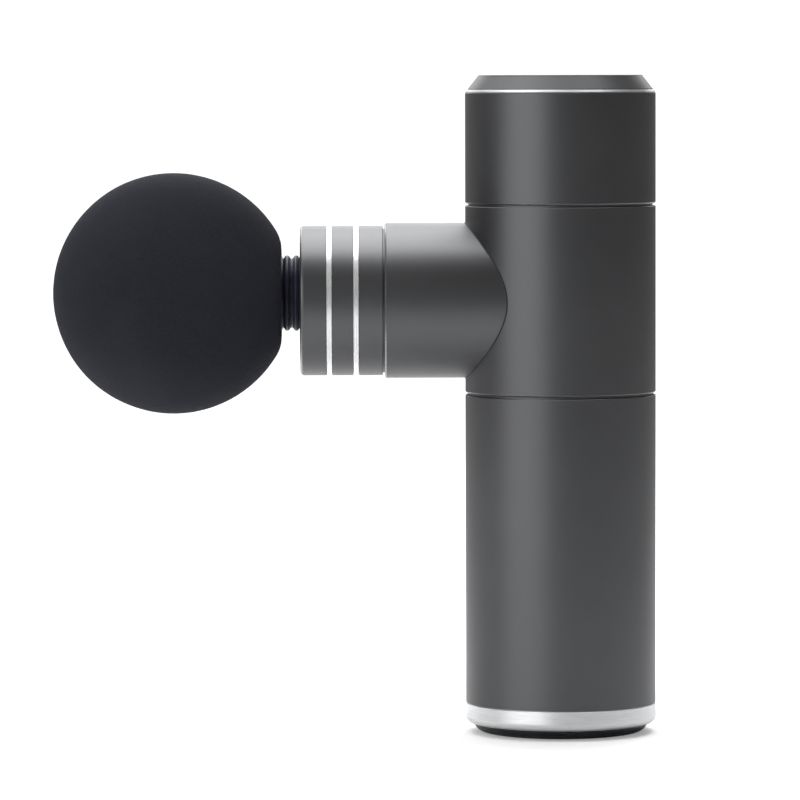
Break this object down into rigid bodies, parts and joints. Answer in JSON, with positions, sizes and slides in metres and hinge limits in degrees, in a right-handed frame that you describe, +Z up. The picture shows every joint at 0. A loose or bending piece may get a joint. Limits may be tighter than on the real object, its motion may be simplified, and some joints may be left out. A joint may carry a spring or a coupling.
{
  "type": "massage gun",
  "caption": "T-shaped pocket massage gun: slim metal body with a side arm, banded collar, push-in foam ball head and a motor-driven slider-crank inside.",
  "frame": {"origin": "centre of the flat underside of the base panel, on the axis of the body", "axes": "+Z up along the body axis, -X along the arm towards the massage head, +Y away from the viewer"},
  "size_m": [0.1324, 0.053, 0.1444],
  "materials": {
    "body_aluminium": "satin",
    "bright_aluminium": "satin",
    "plain_aluminium": "satin",
    "black_panel": "satin",
    "button": "satin",
    "lens": "satin",
    "led": "satin",
    "gloss_black": "gloss",
    "ball_foam": "matte",
    "black_rubber": "matte",
    "inner_plastic": "matte",
    "white_polymer": "satin",
    "circuit_board": "satin",
    "chip_black": "satin",
    "cell_wrap": "satin",
    "nickel": "satin",
    "wire_red": "satin",
    "wire_yellow": "satin",
    "steel": "satin",
    "bearing_steel": "polished",
    "steel_laminations": "satin",
    "black_steel": "satin",
    "can_steel": "satin",
    "magnet": "satin",
    "copper": "satin",
    "brass": "satin",
    "bronze": "satin"
  },
  "bodies": {
    "housing": {"base_panel": "black_panel", "indicator_lenses": "lens", "indicator_lights": "led", "tact_switch": "steel", "control_board": "circuit_board", "base_ring": "bright_aluminium", "handle_shell": "body_aluminium", "usb_c_socket": "steel", "main_board": "circuit_board", "board_parts": "chip_black", "board_screws": "steel", "battery_cells": "cell_wrap", "cell_tabs": "nickel", "battery_carrier": "inner_plastic", "battery_leads": "wire_red", "bay_lid": "inner_plastic", "lid_screws": "steel", "head_housing": "body_aluminium", "motor_cover": "body_aluminium", "top_trim_ring": "bright_aluminium", "top_cap": "body_aluminium", "motor_plate": "plain_aluminium", "plate_screws": "steel", "motor_base": "plain_aluminium", "motor_screws": "steel", "motor_bearings": "bearing_steel", "hall_board": "circuit_board", "stator_core": "steel_laminations", "windings": "copper", "motor_leads": "wire_yellow", "guide_sleeve": "white_polymer", "wiper_seal": "black_rubber", "collar": "body_aluminium", "inlay_ring_front": "bright_aluminium", "inlay_ring_rear": "bright_aluminium"},
    "rotor": {"rotor_can": "can_steel", "magnets": "magnet", "motor_shaft": "bearing_steel", "crank_disc": "brass", "crank_screw": "steel", "grub_screw": "black_steel"},
    "rod": {"connecting_rod": "plain_aluminium", "big_end_bearing": "bearing_steel", "small_end_bush": "bronze", "wrist_pin": "bearing_steel"},
    "ram": {"piston": "plain_aluminium", "socket_bumper": "black_rubber"},
    "head": {"head_adapter": "gloss_black", "adapter_o_rings": "black_rubber", "ball_foam": "ball_foam"},
    "button": {"power_button": "button"}
  },
  "joints": [
    {"name": "rotor_spin", "type": "hinge", "parent": "housing", "child": "rotor", "pos_m": [0, 0, 0.1], "axis": [0, 0, 1], "continuous": true},
    {"name": "rod_on_crank", "type": "hinge", "parent": "rotor", "child": "rod", "pos_m": [0.003, 0, 0.0967], "axis": [0, 0, 1], "continuous": true},
    {"name": "piston_stroke", "type": "slide", "parent": "housing", "child": "ram", "axis": [-1, 0, 0], "range_m": [0, 0.006]},
    {"name": "head_release", "type": "slide", "parent": "ram", "child": "head", "axis": [-1, 0, 0], "range_m": [0, 0.02]},
    {"name": "power_press", "type": "slide", "parent": "housing", "child": "button", "axis": [0, 0, 1], "range_m": [0, 0.0005], "stiffness_N_per_m": 4000}
  ],
  "couplings": [
    {"joint": "rod_on_crank", "follows": "rotor_spin", "ratio": -1}
  ]
}
